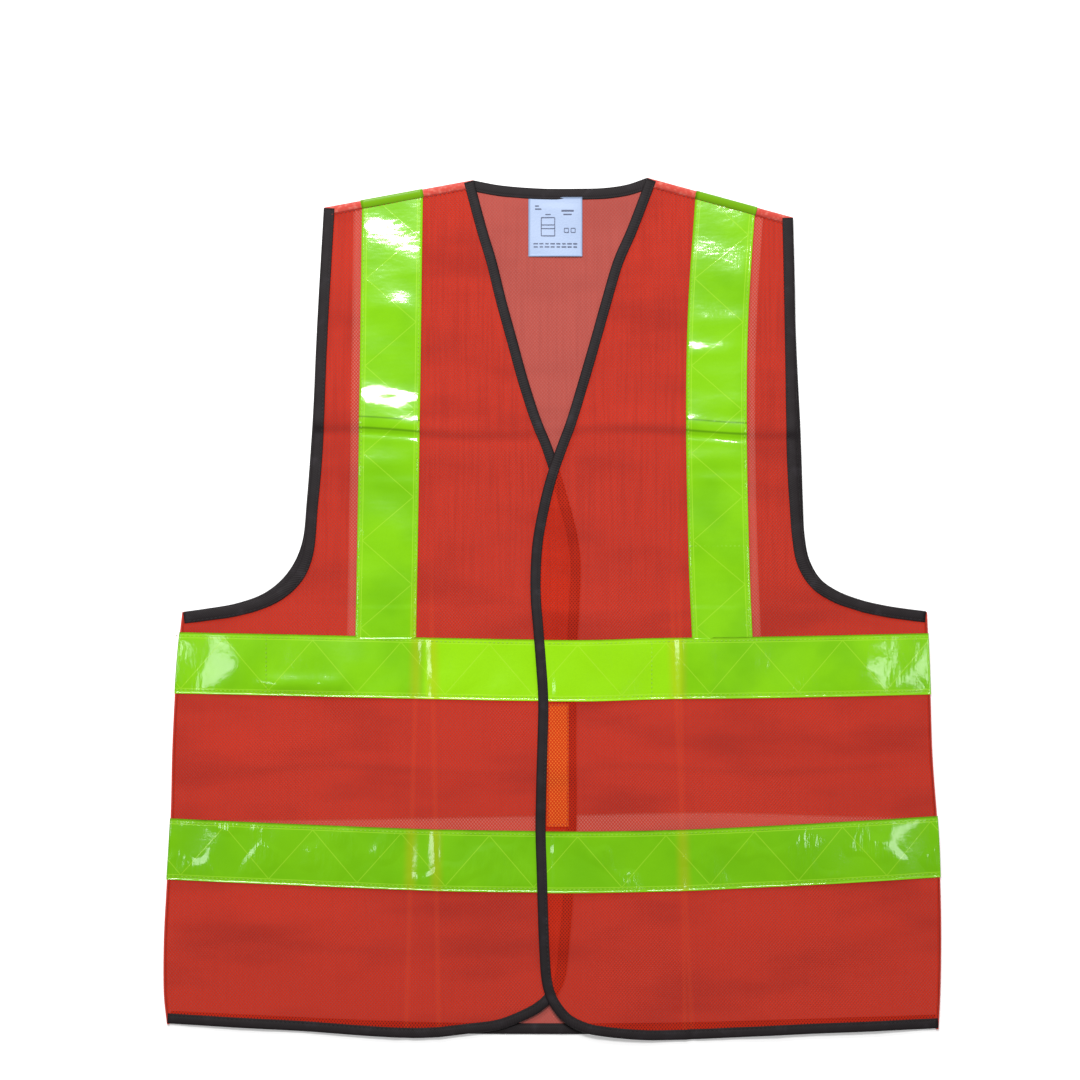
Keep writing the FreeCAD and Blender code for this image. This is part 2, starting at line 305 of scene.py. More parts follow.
def grid_faces(rows, columns, wrap=False):
    faces = []
    for i in range(rows - 1):
        for j in range(columns if wrap else columns - 1):
            k = (j + 1) % columns
            faces.append([i * columns + j, i * columns + k, (i + 1) * columns + k, (i + 1) * columns + j])
    return faces


def closed_sheet(top, bottom, rows, columns):
    """Points and faces of a thin closed body between two grids."""
    count = rows * columns
    upper = grid_faces(rows, columns)
    faces = upper + [[i + count for i in face[::-1]] for face in upper]
    rim = [i * columns for i in range(rows)]
    rim += [(rows - 1) * columns + j for j in range(1, columns)]
    rim += [i * columns + columns - 1 for i in range(rows - 2, -1, -1)]
    rim += list(range(columns - 2, 0, -1))
    for a, b in zip(rim, rim[1:] + rim[:1]):
        faces.append([a, a + count, b + count, b])
    return np.vstack([top, bottom]), faces


# How high tape lies over the cloth, in millimetres: pressed flat under a binding, under the cloth, or
# showing through the cloth as a backing.
PRESSED_TOP = 0.25
PRESSED_UNDERSIDE = 0.12
HIDDEN_TOP = -0.2
BACKING_TOP = 0.12


def tape(name, ends, level, width, height, lift, material, step=2.0, upright=False, tuck=(0, 0),
         backing=None):
    """A strip of tape sewn on the cloth. ends(offsets) gives where each row across it starts and stops,
    level(along) its middle line. lift is how far its top lies above the cloth, negative when it is
    beneath, and tuck how much of each end is pressed flat under a binding."""
    rows = int(round(width / step)) + 1
    v = np.linspace(0, 1, rows)
    offsets = (v - 0.5) * width
    starts, stops = ends(offsets)
    columns = int(np.max(np.abs(stops - starts)) / step) + 1
    share = np.linspace(0, 1, columns)
    along = starts[:, None] + (stops - starts)[:, None] * share[None, :]
    sideways = level(along) + offsets[:, None]
    x, y = (sideways, along) if upright else (along, sideways)
    # it swells a little between its sewn borders, unevenly along its length
    middle = (1 - (2 * v - 1) ** 6)[:, None]
    puff = 0.3 + 0.15 * np.sin(along / 31) + 0.22 * np.sin(along / 7.3 + 2 * np.sin(sideways / 19))
    free = np.ones_like(x)
    from_ends = (np.abs(along - starts[:, None]), np.abs(stops[:, None] - along))
    for reach, distance in zip(tuck, from_ends):
        if reach:
            free = free * smooth((distance - reach) / 4)
    cloth = height(x, y)
    if lift > 0:
        # the gap beneath lets fewer of the mesh's facets cross the tape where a flap bends
        upper = cloth + PRESSED_TOP + (lift - PRESSED_TOP + puff * middle) * free
        lower = cloth + PRESSED_UNDERSIDE + 0.8 * (lift - PRESSED_TOP) * free
    else:
        upper = cloth + (HIDDEN_TOP if backing is None else BACKING_TOP)
        lower = cloth + lift
    top = np.stack([x, y, upper], axis=2).reshape(-1, 3)
    bottom = np.stack([x, y, lower], axis=2).reshape(-1, 3)
    first, second = (bottom, top) if upright else (top, bottom)
    points, faces = closed_sheet(first, second, rows, columns)
    place = np.tile(np.stack([x, y], axis=2).reshape(-1, 2) * MM, (2, 1))
    own = np.stack([along / width, np.broadcast_to(v[:, None], x.shape)], axis=2).reshape(-1, 2)
    strip = new_mesh(name, points, faces, material, place, np.tile(own, (2, 1)))
    if backing is not None:
        strip.data.materials.append(backing)
    for face in strip.data.polygons:
        face.material_index = 1 if backing is not None and face.normal.z > 0.5 else 0
        face.use_smooth = abs(face.normal.z) > 0.4
    return strip


def swept(name, line, profile, height, inward, material):
    """A closed band swept along a plan curve. profile holds (how far in, how far up) pairs."""
    normal = across(line) * inward
    profile = np.array(profile)
    plan = line[:, None, :] + normal[:, None, :] * profile[None, :, :1]
    mid = line + normal * 4.5
    wander = 0.12 * np.sin(np.arange(len(line)) * 0.9) + 0.1 * np.sin(np.arange(len(line)) * 0.37)
    level = height(mid[:, 0], mid[:, 1])[:, None]
    z = level + profile[None, :, 1] + wander[:, None] * (profile[None, :, 1] > 0)
    points = np.concatenate([plan, z[:, :, None]], axis=2).reshape(-1, 3)
    rows, columns = len(line), len(profile)
    faces = grid_faces(rows, columns, wrap=True)
    faces.append(list(range(columns))[::-1])
    faces.append([(rows - 1) * columns + j for j in range(columns)])
    if inward > 0:
        faces = [face[::-1] for face in faces]
    along = np.concatenate([[0], np.cumsum(np.linalg.norm(np.diff(line, axis=0), axis=1))])
    own = np.stack(np.broadcast_arrays(along[:, None] / 10, profile[None, :, 0] / 10), axis=2)
    return new_mesh(name, points, faces, material, plan.reshape(-1, 2) * MM, own.reshape(-1, 2))


def binding_profile(width, thick):
    """Round the folded edge, flat over the cloth, a sewn dip near the inner border."""
    half = thick / 2
    upper = [
        (-0.3, 0.0), (0.0, 0.62 * half), (0.8, half), (2.5, 1.08 * half), (width - 3.4, 1.05 * half),
        (width - 2.4, 0.9 * half), (width - 1.6, 0.62 * half), (width - 0.7, 0.85 * half),
        (width, 0.5 * half),
    ]
    lower = [(s, -up) for s, up in upper[::-1] if up > 0]
    return upper + lower


def stitches(name, line, height, up, material, length=2.4, gap=1.2, thick=0.28):
    """A row of short stitches along a plan curve, lying this far up from the cloth."""
    fine = resample(line, (length + gap) / 2)
    points, faces, place = [], [], []
    ring = [(-1, -0.5), (1, -0.5), (0, 1.0)]
    for start, end in zip(fine[:-1:2], fine[1::2]):
        run = (end - start) / max(np.linalg.norm(end - start), 1e-9)
        side = np.array([-run[1], run[0]])
        middle = (start + end) / 2
        level = float(height(middle[0], middle[1])) + up
        first = len(points)
        quarter = run * length / 4
        for centre, size in ((start, 0.5), (middle - quarter, 1), (middle + quarter, 1), (end, 0.5)):
            for out, rise in ring:
                flat = centre + side * out * thick * size
                points.append((flat[0], flat[1], level + rise * thick * size))
                place.append(middle * MM)
        for i in range(3):
            for j in range(3):
                a, b = first + i * 3 + j, first + i * 3 + (j + 1) % 3
                faces.append([a, b, b + 3, a + 3])
        faces.append([first + 2, first + 1, first])
        faces.append([first + 9, first + 10, first + 11])
    return new_mesh(name, points, faces, material, place)


# ---------------------------------------------------------------- materials
class Nodes:
    """Builds one material's node tree."""

    def __init__(self, name):
        self.material = bpy.data.materials.new(name)
        self.material.use_nodes = True
        self.tree = self.material.node_tree
        self.surface = self.tree.nodes["Principled BSDF"]

    def add(self, kind, **settings):
        node = self.tree.nodes.new(kind)
        for key, value in settings.items():
            setattr(node, key, value)
        return node

    def link(self, source, target):
        self.tree.links.new(source, target)

    def math(self, operation, a, b=0.0, c=0.0):
        node = self.add("ShaderNodeMath", operation=operation)
        for socket, value in zip(node.inputs, (a, b, c)):
            if isinstance(value, (int, float)):
                socket.default_value = value
            else:
                self.link(value, socket)
        return node.outputs[0]

    def uv(self, layer):
        node = self.add("ShaderNodeUVMap", uv_map=layer)
        split = self.add("ShaderNodeSeparateXYZ")
        self.link(node.outputs[0], split.inputs[0])
        return node.outputs[0], split.outputs[0], split.outputs[1]

    def noise(self, vector, scale, detail=3.0, stretch=(1, 1, 1)):
        mapping = self.add("ShaderNodeMapping")
        mapping.inputs["Scale"].default_value = stretch
        self.link(vector, mapping.inputs["Vector"])
        node = self.add("ShaderNodeTexNoise")
        node.inputs["Scale"].default_value = scale
        node.inputs["Detail"].default_value = detail
        self.link(mapping.outputs[0], node.inputs["Vector"])
        return node.outputs["Fac"]

    def ramp(self, value, low, high):
        """0 below low and 1 above high, smoothly between; low may be above high."""
        node = self.add("ShaderNodeMapRange", interpolation_type="SMOOTHSTEP", clamp=True)
        node.inputs["From Min"].default_value = low
        node.inputs["From Max"].default_value = high
        self.link(value, node.inputs["Value"])
        return node.outputs[0]

    def mix(self, share, a, b):
        node = self.add("ShaderNodeMix", data_type="RGBA")
        sockets = (node.inputs["Factor"], node.inputs["A"], node.inputs["B"])
        for socket, value in zip(sockets, (share, a, b)):
            if isinstance(value, (int, float)):
                socket.default_value = value
            elif isinstance(value, tuple):
                socket.default_value = (*value, 1)
            else:
                self.link(value, socket)
        return node.outputs["Result"]

    def bump(self, height, strength, distance, after=None):
        node = self.add("ShaderNodeBump")
        node.inputs["Strength"].default_value = strength
        node.inputs["Distance"].default_value = distance
        self.link(height, node.inputs["Height"])
        if after is not None:
            self.link(after, node.inputs["Normal"])
        return node.outputs[0]

    def set(self, **values):
        for key, value in values.items():
            socket = self.surface.inputs[key.replace("_", " ")]
            if isinstance(value, (int, float)):
                socket.default_value = value
            elif isinstance(value, tuple):
                socket.default_value = (*value, 1)
            else:
                self.link(value, socket)
        return self.material


def mesh_cloth(name, colour, deep, cover, open_share):
    """Warp-knitted polyester mesh: fine wales of small eyelets that let some light through. cover is
    how much the yarns hide, open_share how much less the eyelets do."""
    n = Nodes(name)
    place, x, y = n.uv("place")
    wander = n.math("MULTIPLY", n.noise(place, 40, 2), 0.0014)
    columns = n.math("SINE", n.math("MULTIPLY", n.math("ADD", x, wander), 2 * math.pi / 0.0026))
    rows = n.math("SINE", n.math("MULTIPLY", n.math("ADD", y, wander), 2 * math.pi / 0.0031))
    knit = n.math("MULTIPLY", columns, rows)
    eyelet = n.ramp(knit, -0.1, 0.75)
    solid = n.math("SUBTRACT", cover, n.math("MULTIPLY", eyelet, open_share))
    # painted shade: soft darker blotches stand in for the shading of the cloth's undulations
    shade_blotches = n.ramp(n.noise(place, 8, 3, (1.0, 3.0, 1)), 0.42, 0.72)
    streak = n.ramp(n.noise(place, 30, 2, (14, 0.5, 1)), 0.35, 0.75)
    base = n.mix(n.math("MULTIPLY", shade_blotches, 0.5), colour, deep)
    streaked = n.math("MULTIPLY_ADD", n.ramp(y, -0.05, 0.1), 0.28, 0.08)
    base = n.mix(n.math("MULTIPLY", streak, streaked), base, deep)
    base = n.mix(n.math("MULTIPLY", n.ramp(knit, -0.2, -0.8), 0.2), base, deep)
    # painted light: a lighter orange along the vertical packing folds
    base = n.mix(n.math("MULTIPLY", fold_lines(n, x, y, 0.0035), 0.2), base, (0.80, 0.08, 0.02))
    # painted shade: a darker band along the fold across the chest
    base = n.mix(n.math("MULTIPLY", cross_fold(n, x, y, 0.144, 0.008), 0.4), base, deep)
    grain = n.bump(knit, 0.3, 0.0004)
    return n.set(Base_Color=base, Roughness=0.72, Alpha=solid, Normal=grain,
                 Specular_IOR_Level=0.06)


def fold_lines(n, x, y, reach):
    """1 on the vertical packing folds below the chest, 0 away from them."""
    found = None
    for lines in FOLDS_DOWN.values():
        for top, bottom in lines:
            slope = (top - bottom) / 300
            line = n.math("MULTIPLY_ADD", y, slope, (top + slope * 30) * MM)
            near = n.ramp(n.math("ABSOLUTE", n.math("SUBTRACT", x, line)), reach, 0.0)
            found = near if found is None else n.math("MAXIMUM", found, near)
    return n.math("MULTIPLY", found, n.ramp(y, 0.06, -0.02))


def cross_fold(n, x, y, level, reach):
    """1 along the fold across the chest, level metres up the garment, 0 away from it."""
    wander = n.math("MULTIPLY", n.math("SINE", n.math("MULTIPLY", x, 27.0)), 0.003)
    away = n.math("ABSOLUTE", n.math("SUBTRACT", n.math("SUBTRACT", y, level), wander))
    return n.ramp(away, reach, 0.0)


def prismatic_tape(name, colour, deep, bright, pale, crinkle):
    """Glossy PVC over prisms, welded along its borders and in a zigzag across. It is brighter on the
    chest between the down folds and darker at the waist, as in the photo; the darker waist is painted
    shade, where less light falls towards the bottom."""
    n = Nodes(name)
    place, x, y = n.uv("place")
    own, u, v = n.uv("tape")
    border = n.math("ABSOLUTE", n.math("SUBTRACT", v, 0.5))
    line = n.ramp(n.math("ABSOLUTE", n.math("SUBTRACT", border, 0.415)), 0.010, 0.004)
    rim = n.ramp(border, 0.425, 0.45)
    saw = n.math("PINGPONG", n.math("ADD", u, 0.31), 0.72)
    wave = n.math("MULTIPLY_ADD", saw, 0.83 / 0.72, 0.085)
    zigzag = n.ramp(n.math("ABSOLUTE", n.math("SUBTRACT", v, wave)), 0.013, 0.005)
    marks = n.math("MAXIMUM", n.math("MULTIPLY", line, 0.6), n.math("MULTIPLY", zigzag, 0.6))
    cells = n.add("ShaderNodeTexVoronoi", feature="F1")
    cells.inputs["Scale"].default_value = 900
    n.link(place, cells.inputs["Vector"])
    tone = n.ramp(n.noise(place, 18, 3), 0.3, 0.75)
    base = n.mix(n.math("MULTIPLY", tone, 0.55), colour, deep)
    between_folds = n.ramp(n.math("ABSOLUTE", x), 0.108, 0.102)
    chest_row = n.math("MULTIPLY", n.ramp(y, -0.11, -0.09), n.ramp(y, 0.0, -0.02))
    base = n.mix(n.math("MULTIPLY", n.math("MULTIPLY", between_folds, chest_row), 0.85), base, bright)
    # painted shade: darker towards the waist, where less light falls
    base = n.mix(n.math("MULTIPLY", n.ramp(y, -0.1, -0.18), 0.5), base, deep)
    base = n.mix(n.math("MULTIPLY", cells.outputs["Distance"], 0.12), base, deep)
    base = n.mix(n.math("MULTIPLY", rim, 0.12), base, pale)
    base = n.mix(n.math("MULTIPLY", marks, 0.6), base, pale)
    base = n.mix(n.math("MULTIPLY", fold_lines(n, x, y, 0.008), 0.28), base, (0.60, 0.40, 0.01))
    # painted shade: dark lines in the crease of the fold across the chest
    lower_line = cross_fold(n, x, y, 0.1455, 0.0016)
    crease_shade_lines = n.math("MAXIMUM", lower_line, cross_fold(n, x, y, 0.1545, 0.0012))
    base = n.mix(n.math("MULTIPLY", crease_shade_lines, 0.6), base, (0.05, 0.17, 0.001))
    wrinkle = n.noise(own, 3.2, 3, (1.0, 0.45, 1))
    fine = n.noise(own, 13, 2, (0.8, 1.3, 1))
    relief = n.math("MULTIPLY_ADD", fine, 0.12, wrinkle)
    ridges = n.noise(own, 6, 2, (1.7, 0.32, 1))
    low_down = n.math("MULTIPLY_ADD", n.ramp(y, -0.10, -0.15), 3.0, 0.8)
    wrinkled = n.math("MULTIPLY", low_down, n.ramp(y, 0.0, -0.08))
    patches = n.ramp(n.noise(own, 1.3, 1), 0.49, 0.60)
    relief = n.math("ADD", relief, n.math("MULTIPLY", ridges, n.math("MULTIPLY", patches, wrinkled)))
    relief = n.math("MULTIPLY_ADD", marks, -0.05, relief)
    normal = n.bump(relief, crinkle, 0.004)
    return n.set(Base_Color=base, Roughness=0.3, Coat_Weight=1.0, Coat_Roughness=0.1,
                 Coat_Normal=normal, Normal=normal, Specular_IOR_Level=0.1)


def woven(name, colour, light, scale, sheen=0.3):
    """Plain weave or twill tape."""
    n = Nodes(name)
    own, u, v = n.uv("tape")
    threads = n.math("SINE", n.math("MULTIPLY", n.math("ADD", u, n.math("MULTIPLY", v, 0.6)), scale))
    # painted sheen: lighter patches stand in for the satin highlights on the binding
    sheen_patches = n.ramp(n.noise(own, 0.9, 3), 0.5, 0.8)
    base = n.mix(n.math("MULTIPLY_ADD", threads, 0.12, 0.16), colour, light)
    base = n.mix(n.math("MULTIPLY", sheen_patches, 0.35), base, light)
    return n.set(Base_Color=base, Roughness=0.62, Sheen_Weight=sheen, Specular_IOR_Level=0.2,
                 Normal=n.bump(threads, 0.25, 0.0003))


def plain(name, colour, roughness=0.6, grain=900.0, mottle=None):
    """A plain finish speckled towards mottle, or towards a slightly darker tone."""
    n = Nodes(name)
    place, _, _ = n.uv("place")
    speck = n.noise(place, grain, 2)
    share = n.math("MULTIPLY", speck, 0.3) if mottle is None else n.ramp(speck, 0.45, 0.7)
    base = n.mix(share, colour, mottle or tuple(c * 0.8 for c in colour))
    return n.set(Base_Color=base, Roughness=roughness, Normal=n.bump(speck, 0.2, 0.0004))


RED = (0.68, 0.028, 0.006)
DEEP_RED = (0.40, 0.010, 0.002)
BACK_RED_WITH_FLOOR_LIGHT = (0.44, 0.070, 0.052)
BACK_DEEP_RED_WITH_FLOOR_LIGHT = (0.35, 0.048, 0.036)
cloth = mesh_cloth("orange_red_mesh", RED, DEEP_RED, 0.68, 0.40)
# The back's mesh is the same cloth as the fronts'; its paler colour is painted light, the white
# floor's light through a single layer. It covers more than the fronts', to match what the photo's V
# opening shows.
back_cloth = mesh_cloth("orange_red_mesh_back", BACK_RED_WITH_FLOOR_LIGHT, BACK_DEEP_RED_WITH_FLOOR_LIGHT, 0.95, 0.10)
lime = prismatic_tape(
    "prismatic_lime", colour=(0.24, 0.63, 0.002), deep=(0.13, 0.43, 0.001),
    bright=(0.33, 0.76, 0.002), pale=(0.50, 0.82, 0.05), crinkle=0.09,
)
# The upper face of the back's tapes, drawn as if already seen through the back's mesh.
tape_back = plain("mesh_over_tape_backing", (0.74, 0.34, 0.28), 0.6)
lime_fold = plain("lime_fold", (0.17, 0.40, 0.004), 0.35)
# the lighter bluish colour serves both the weave's threads and the painted satin sheen
black = woven("black_binding", (0.008, 0.005, 0.005), (0.042, 0.036, 0.044), 40, 0.0)
seam_cloth = plain("seam_cloth", (0.58, 0.04, 0.02))
shoulder_cloth = plain("shoulder_cloth", (0.60, 0.06, 0.04), grain=300.0, mottle=(0.68, 0.15, 0.11))
lime_thread = plain("lime_thread", (0.42, 0.72, 0.08))
red_thread = plain("red_thread", (0.50, 0.03, 0.02))
pale_thread = plain("pale_thread", (0.85, 0.70, 0.62))
black_thread = plain("black_thread", (0.012, 0.010, 0.011))
pile = plain("orange_pile", (0.95, 0.30, 0.03), 0.85, 1500.0)
label_cloth = plain("label_satin", (0.33, 0.43, 0.64), 0.45, 600.0)
label_ink = plain("label_ink", (0.10, 0.12, 0.20), 0.7)


def keep(piece, body, nodes=()):
    """Put the piece on its CAD body, or, for a bend, leave it unattached with its placement baked in."""
    if body.endswith("_bend"):
        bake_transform(piece)
    else:
        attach(piece, body)
    if nodes:
        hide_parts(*nodes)
    return piece


TAPE_WIDTH = 50
TAPE_LIFT = 0.55
BINDING_WIDTH = 8.6
EDGE_BINDING_WIDTH = 8.0
BINDING_THICKNESS = 2.0
BINDING = binding_profile(BINDING_WIDTH, BINDING_THICKNESS)
EDGE_BINDING = binding_profile(EDGE_BINDING_WIDTH, BINDING_THICKNESS)
STITCH_LINE = 1.6

# Where the front armhole binding lies further in than the back one: height along it, reach, how far.
ARMHOLE_PULLS = {"left": ((125, 70, 3.4), (35, 22, 1.5)), "right": ((120, 60, 1.2), (30, 24, 4.6))}


def pulled_in(line, inward, pulls):
    depth = sum(deep * np.exp(-(((line[:, 1] - y) / reach) ** 2)) for y, reach, deep in pulls)
    return line + across(line) * inward * depth[:, None]


# the back
back_outline = np.vstack([
    neckline[:-1],
    [neckline[-1]],
    resample(np.array([neckline[-1], armholes["left"][0]]), EDGE_STEP)[1:-1],
    armholes["left"],
    flanks["left"][1:-1],
    back_hem[::-1],
    flanks["right"][::-1][1:-1],
    armholes["right"][::-1],
    resample(np.array([armholes["right"][0], neckline[0]]), EDGE_STEP)[1:-1],
])
keep(panel("back_panel_cloth", back_outline, back_height, back_cloth, 7.0), "vest", ["back_panel"])
keep(swept("back_neck_binding_band", neckline, BINDING, back_height, -1, black),
     "vest", ["back_neck_binding"])
keep(swept("back_hem_binding_band", back_hem, BINDING, back_height, 1, black),
     "vest", ["back_hem_binding"])


def x_on(line, y):
    """Where a plan curve that runs down the garment passes each height."""
    order = np.argsort(line[:, 1])
    return np.interp(y, line[order, 1], line[order, 0])


def row_middle(points):
    line = curve(points, 3)
    return lambda x: np.interp(x, line[:, 0], line[:, 1])


TAPE_ROWS = {row: row_middle(points) for row, points in TAPE_MIDDLES.items()}
BACK_ROWS = {"chest": TAPE_ROWS["chest"], "waist": row_middle(BACK_WAIST_MIDDLE)}


for row, middle in BACK_ROWS.items():
    level = float(middle(np.array(250.0)))

    def back_ends(offsets, level=level):
        return (x_on(flanks["right"], level + offsets) + 1, x_on(flanks["left"], level + offsets) - 1)

    piece = tape(f"{row}_tape_back_strip", back_ends, middle, TAPE_WIDTH, back_height, -0.75, lime,
                 3.0, backing=tape_back)
    keep(piece, "vest", [f"{row}_tape_back"])
    run_x = np.linspace(-308, 308, 160)
    run = np.stack([run_x, middle(run_x) + 22.5], axis=1)
    keep(stitches(f"{row}_tape_back_stitches", run, back_height, 0.5, pale_thread, thick=0.4), "vest")

BRACES = {
    "left": curve([(142, 345), (135.5, 250), (133.6, 170), (135.5, 50), (138.7, -30)], 4),
    "right": curve([(-130.5, 345), (-132.5, 190), (-134.5, 60), (-136.2, -30)], 4),
}


def shoulder_line(side):
    return np.array([FRONT_EDGES[side][0], ARMHOLES[side][0]], float)


def y_on_shoulder(side, x):
    line = shoulder_line(side)
    order = np.argsort(line[:, 0])
    return np.interp(x, line[order, 0], line[order, 1])


CHEST_TOP = 24.5

for side, sign in SIGNS.items():
    height = HEIGHTS[side]
    bend = f"{side}_flap_bend"
    edge = front_edges[side]
    front_armhole = pulled_in(armholes[side], -sign, ARMHOLE_PULLS[side])
    outline = np.vstack([
        resample(shoulder_line(side), EDGE_STEP)[:-1],
        front_armhole[:-1],
        flanks[side][:-1],
        edge[::-1][:-1],
    ])
    keep(panel(f"{side}_front_cloth", outline, height, cloth), bend,
         [f"{side}_front_side_panel", f"{side}_front_flap_panel"])

    keep(swept(f"{side}_front_edge_band", edge, EDGE_BINDING, height, sign, black), bend,
         [f"{side}_flap_edge_binding", f"{side}_hem_binding", f"{side}_neck_binding_end"])
    seam = edge + across(edge) * sign * (EDGE_BINDING_WIDTH - STITCH_LINE)
    keep(stitches(f"{side}_front_edge_stitches", seam, height, 0.75, black_thread), bend)
    armhole_layers = (("front", height, front_armhole), ("back", back_height, armholes[side]))
    for layer, layer_height, line in armhole_layers:
        keep(swept(f"{side}_{layer}_armhole_band", line, BINDING, layer_height, -sign, black),
             "vest", [f"{side}_{layer}_armhole_binding"])
    seam = front_armhole - across(armholes[side]) * sign * (BINDING_WIDTH - STITCH_LINE)
    keep(stitches(f"{side}_armhole_stitches", seam, height, 0.75, black_thread), "vest")

    for row, middle in TAPE_ROWS.items():
        level = float(middle(np.array(sign * 250.0)))
        inner_level = float(middle(np.array(0.0)))

        def ends(offsets, level=level, inner_level=inner_level):
            outer = x_on(flanks[side], level + offsets) + sign * 0.6
            inner_edge = edge[edge[:, 1] > -330]
            inner = x_on(inner_edge, inner_level + offsets) + sign * 4
            return (inner, outer) if side == "left" else (outer, inner)

        tuck = (7, 0) if side == "left" else (0, 7)
        strip = tape(f"{side}_{row}_tape_strip", ends, middle, TAPE_WIDTH, height, TAPE_LIFT, lime,
                     tuck=tuck)
        keep(strip, bend, [f"{side}_{row}_tape_side", f"{side}_{row}_tape_flap"])
        for border, offset_y in (("upper", 22.0), ("lower", -22.0)):
            first, last = ends(np.array([offset_y]))
            run_x = np.linspace(first[0] + max(tuck[0], 1), last[0] - max(tuck[1], 1), 80)
            run = np.stack([run_x, middle(run_x) + offset_y], axis=1)
            row_stitches = stitches(f"{side}_{row}_tape_{border}_stitches", run, height,
                                    TAPE_LIFT + 0.3, lime_thread)
            keep(row_stitches, bend)

    brace = BRACES[side]

    def brace_middle(along):
        return x_on(brace, along)

    def brace_ends(offsets):
        foot = float(TAPE_ROWS["chest"](np.array(sign * 135.0))) + CHEST_TOP - 2
        top = y_on_shoulder(side, brace_middle(np.full_like(offsets, 335.0)) + offsets) - 1
        return np.full_like(offsets, foot), top

    front_brace = tape(f"{side}_brace_front_strip", brace_ends, brace_middle, 49.5, height, TAPE_LIFT,
                       lime, upright=True)
    keep(front_brace, "vest", [f"{side}_brace_tape_front"])
    # the back brace shows past the front one's outer border
    shift = sign * 6.5

    def back_brace_middle(along):
        return x_on(brace, along) + shift

    back_brace = tape(f"{side}_brace_back_strip", brace_ends, back_brace_middle, 51, back_height, -0.75,
                      lime, 3.0, upright=True, backing=tape_back)
    keep(back_brace, "vest", [f"{side}_brace_tape_back"])
    for border, offset_x in (("inner", -22.8), ("outer", 22.8)):
        low, high = brace_ends(np.array([offset_x]))
        run_y = np.linspace(low[0], high[0], 60)
        run = np.stack([brace_middle(run_y) + offset_x, run_y], axis=1)
        keep(stitches(f"{side}_brace_{border}_stitches", run, height, TAPE_LIFT + 0.28, lime_thread),
             "vest")


# the seams that turn from the back up to the front
def seam_band(name, line, inward, front_height_of, material, turn_in, out=0.4, lift=0.0):
    """A band from the back panel round the outside and in over the front, along a plan curve."""
    normal = across(line) * inward
    shape = [
        (2.0, 0.0), (0.2, 0.0), (-out * 0.8, 0.25), (-out, 0.55), (-out * 0.6, 0.85), (0.3, 1.0),
        (turn_in, 1.0),
    ]
    rows = []
    for s, share in shape:
        plan = line + normal * s
        probe = line + normal * max(s, 0.5)
        low = back_height(probe[:, 0], probe[:, 1]) - 0.05 - lift
        high = front_height_of(probe[:, 0], probe[:, 1]) + 0.35 + lift
        rows.append(np.column_stack([plan, low + (high - low) * share]))
    outer = np.stack(rows, axis=1)
    inner = outer.copy()
    inner[:, :, :2] += normal[:, None, :] * 0.35
    inner[:, :, 2] += np.array([0.3, 0.3, 0.15, 0, -0.15, -0.3, -0.3])[None, :]
    points, faces = closed_sheet(outer.reshape(-1, 3), inner.reshape(-1, 3), len(line), len(shape))
    place = points[:, :2] * MM
    own = points[:, :2] / 50
    return new_mesh(name, points, faces, material, place, own)


for side, sign in SIGNS.items():
    height = HEIGHTS[side]
    keep(seam_band(f"{side}_side_seam_band", flanks[side], -sign, height, seam_cloth, 1.5),
         "vest", [f"{side}_side_seam"])
    line = resample(shoulder_line(side), EDGE_STEP)
    keep(seam_band(f"{side}_shoulder_seam_band", line, -sign, height, shoulder_cloth, 5.5),
         "vest", [f"{side}_shoulder_seam"])
    brace_x = x_on(BRACES[side], 335)
    over = line[np.abs(line[:, 0] - brace_x) < 26.5]
    brace_fold = seam_band(f"{side}_brace_over_shoulder", over, -sign, height, lime_fold, 6.0, out=0.9,
                           lift=0.9)
    keep(brace_fold, "vest")
    seam = line - across(line) * sign * 6.4
    keep(stitches(f"{side}_shoulder_stitches", seam[1:-1], height, 0.75, red_thread),
         "vest")

# hook and loop at the closure; shift is how far the photo's strip lies from the middle of its CAD node
STRIP_FRAME = (7.6, 48.5)
for name, body, side, lift, shift in (
    ("hook_strip", "right_flap", "right", 0.95, 2.0),
    ("loop_strip", "left_flap", "left", -0.95, -4.9),
):
    low, high = box_mm(name)
    middle_x = (low[0] + high[0]) / 2 + shift

    def strip_ends(offsets, low=low, high=high):
        return np.full_like(offsets, low[1]), np.full_like(offsets, high[1])

    piece = tape(f"{name}_pile", strip_ends, lambda along, x=middle_x: np.full_like(along, x), 17.5,
                 HEIGHTS[side], lift, pile, 2.5, upright=True)
    keep(piece, body, [name])
    if name == "loop_strip":
        middle_y = (low[1] + high[1]) / 2
        corners = np.array([(-1, -1), (1, -1), (1, 1), (-1, 1), (-1, -1)]) * STRIP_FRAME
        run = resample(corners + (middle_x, middle_y), 3.6)
        keep(stitches("loop_strip_stitches", run, HEIGHTS[side], 0.2, red_thread), body)

# the tape is pieced together here: a row of stitches across it
JOIN_LIFT = TAPE_LIFT + 0.42
CHEST_JOINS = (("left", 81.0), ("left", 297.0), ("right", -233.5))
for number, (side, x) in enumerate(CHEST_JOINS):
    y = np.linspace(-23, 23, 12) + TAPE_ROWS["chest"](x)
    run = np.stack([np.full_like(y, x), y], axis=1)
    keep(stitches(f"{side}_chest_join_stitches_{number}", run, HEIGHTS[side], JOIN_LIFT, lime_thread),
         f"{side}_flap_bend")
BRACE_JOIN = 51.5
x = np.linspace(-23, 23, 12) + x_on(BRACES["left"], BRACE_JOIN)
run = np.stack([x, np.full_like(x, BRACE_JOIN)], axis=1)
keep(stitches("left_brace_join_stitches", run, HEIGHTS["left"], JOIN_LIFT, lime_thread),
     "vest")

